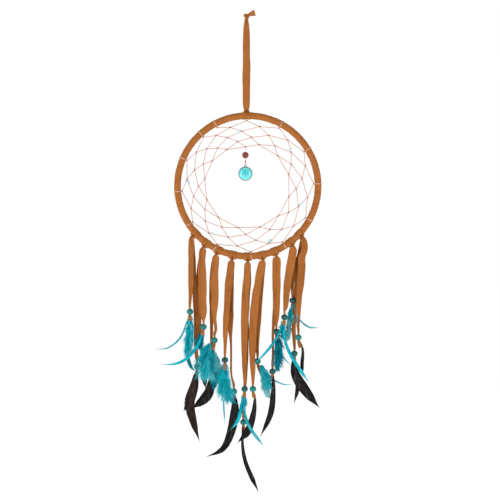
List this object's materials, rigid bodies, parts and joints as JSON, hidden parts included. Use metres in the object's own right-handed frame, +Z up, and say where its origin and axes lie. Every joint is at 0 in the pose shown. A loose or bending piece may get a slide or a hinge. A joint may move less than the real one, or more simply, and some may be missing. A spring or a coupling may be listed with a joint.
{
  "type": "dream catcher",
  "caption": "Hanging dream catcher: suede-wrapped hoop with a knotted thread web, a glass drop pendant and suede tassels with beads and feathers.",
  "frame": {"origin": "hanging point: where a nail or hook bears in the strap's loop, just under its knot", "axes": "+Z up, -Y towards the viewer in front of the web, +X to the viewer's right"},
  "size_m": [0.225, 0.0138, 0.6539],
  "materials": {
    "suede": "napped",
    "ring_wire": "satin",
    "waxed_thread": "waxed",
    "stone": "polished",
    "brown_glass": "gloss",
    "copper": "satin",
    "silver": "gloss",
    "turquoise_glass": "gloss",
    "teal_bead": "gloss",
    "teal_feather": "soft",
    "black_feather": "soft"
  },
  "bodies": {
    "strap": {"hanging_strap": "suede"},
    "hoop": {"hoop_ring": "ring_wire", "hoop_wrap": "suede", "web_thread": "waxed_thread", "stone_chip_1": "stone", "stone_chip_2": "stone", "stone_chip_3": "stone", "stone_chip_4": "stone", "stone_chip_5": "stone", "stone_chip_6": "stone"},
    "pendant_drop": {"pendant_thread": "waxed_thread", "pendant_bead": "brown_glass", "pendant_crimp": "copper"},
    "pendant": {"pendant_bezel": "silver", "pendant_cabochon": "turquoise_glass"},
    "tassel_1": {"lace_1": "suede", "bead_1_front": "teal_bead", "bead_1_back": "teal_bead", "feather_1_front": "teal_feather", "feather_1_back": "black_feather"},
    "tassel_2": {"lace_2": "suede", "bead_2_front": "teal_bead", "bead_2_back": "teal_bead", "feather_2_front": "teal_feather", "feather_2_back": "teal_feather"},
    "tassel_3": {"lace_3": "suede", "bead_3_front": "teal_bead", "bead_3_back": "teal_bead", "feather_3_front": "teal_feather", "feather_3_back": "black_feather"},
    "tassel_4": {"lace_4": "suede", "bead_4_front": "teal_bead", "bead_4_back": "teal_bead", "feather_4_front": "teal_feather", "feather_4_back": "black_feather"},
    "tassel_5": {"lace_5": "suede", "bead_5_front": "teal_bead", "bead_5_back": "teal_bead", "feather_5_front": "teal_feather", "feather_5_back": "black_feather"},
    "tassel_6": {"lace_6": "suede", "bead_6_front": "teal_bead", "bead_6_back": "teal_bead", "feather_6_front": "black_feather", "feather_6_back": "teal_feather"},
    "tassel_7": {"lace_7": "suede", "bead_7_front": "teal_bead", "bead_7_back": "teal_bead", "feather_7_front": "teal_feather", "feather_7_back": "black_feather"},
    "tassel_8": {"lace_8": "suede", "bead_8_front": "teal_bead", "bead_8_back": "teal_bead", "feather_8_front": "teal_feather", "feather_8_back": "teal_feather"},
    "tassel_9": {"lace_9": "suede", "bead_9_front": "teal_bead", "bead_9_back": "teal_bead", "feather_9_front": "black_feather", "feather_9_back": "black_feather"}
  },
  "joints": [
    {"name": "hoop_swing", "type": "hinge", "parent": "strap", "child": "hoop", "pos_m": [0, 0, -0.1298], "axis": [1, 0, 0], "range_deg": [-45, 45]},
    {"name": "pendant_swing", "type": "hinge", "parent": "hoop", "child": "pendant_drop", "pos_m": [-0.00152, 0, -0.17255], "axis": [1, 0, 0], "range_deg": [-40, 40]},
    {"name": "pendant_tilt", "type": "hinge", "parent": "pendant_drop", "child": "pendant", "pos_m": [-0.00152, 0, -0.19565], "axis": [1, 0, 0], "range_deg": [-60, 60]},
    {"name": "tassel_1_swing", "type": "hinge", "parent": "hoop", "child": "tassel_1", "pos_m": [-0.06867, 0, -0.28936], "axis": [1, 0, 0], "range_deg": [-25, 25]},
    {"name": "tassel_2_swing", "type": "hinge", "parent": "hoop", "child": "tassel_2", "pos_m": [-0.05418, 0, -0.3023], "axis": [1, 0, 0], "range_deg": [-25, 25]},
    {"name": "tassel_3_swing", "type": "hinge", "parent": "hoop", "child": "tassel_3", "pos_m": [-0.03812, 0, -0.31168], "axis": [1, 0, 0], "range_deg": [-25, 25]},
    {"name": "tassel_4_swing", "type": "hinge", "parent": "hoop", "child": "tassel_4", "pos_m": [-0.01844, 0, -0.31825], "axis": [1, 0, 0], "range_deg": [-25, 25]},
    {"name": "tassel_5_swing", "type": "hinge", "parent": "hoop", "child": "tassel_5", "pos_m": [0.0017, 0, -0.3204], "axis": [1, 0, 0], "range_deg": [-25, 25]},
    {"name": "tassel_6_swing", "type": "hinge", "parent": "hoop", "child": "tassel_6", "pos_m": [0.02086, 0, -0.31845], "axis": [1, 0, 0], "range_deg": [-25, 25]},
    {"name": "tassel_7_swing", "type": "hinge", "parent": "hoop", "child": "tassel_7", "pos_m": [0.03771, 0, -0.31333], "axis": [1, 0, 0], "range_deg": [-25, 25]},
    {"name": "tassel_8_swing", "type": "hinge", "parent": "hoop", "child": "tassel_8", "pos_m": [0.05892, 0, -0.30131], "axis": [1, 0, 0], "range_deg": [-25, 25]},
    {"name": "tassel_9_swing", "type": "hinge", "parent": "hoop", "child": "tassel_9", "pos_m": [0.07117, 0, -0.29034], "axis": [1, 0, 0], "range_deg": [-25, 25]}
  ]
}
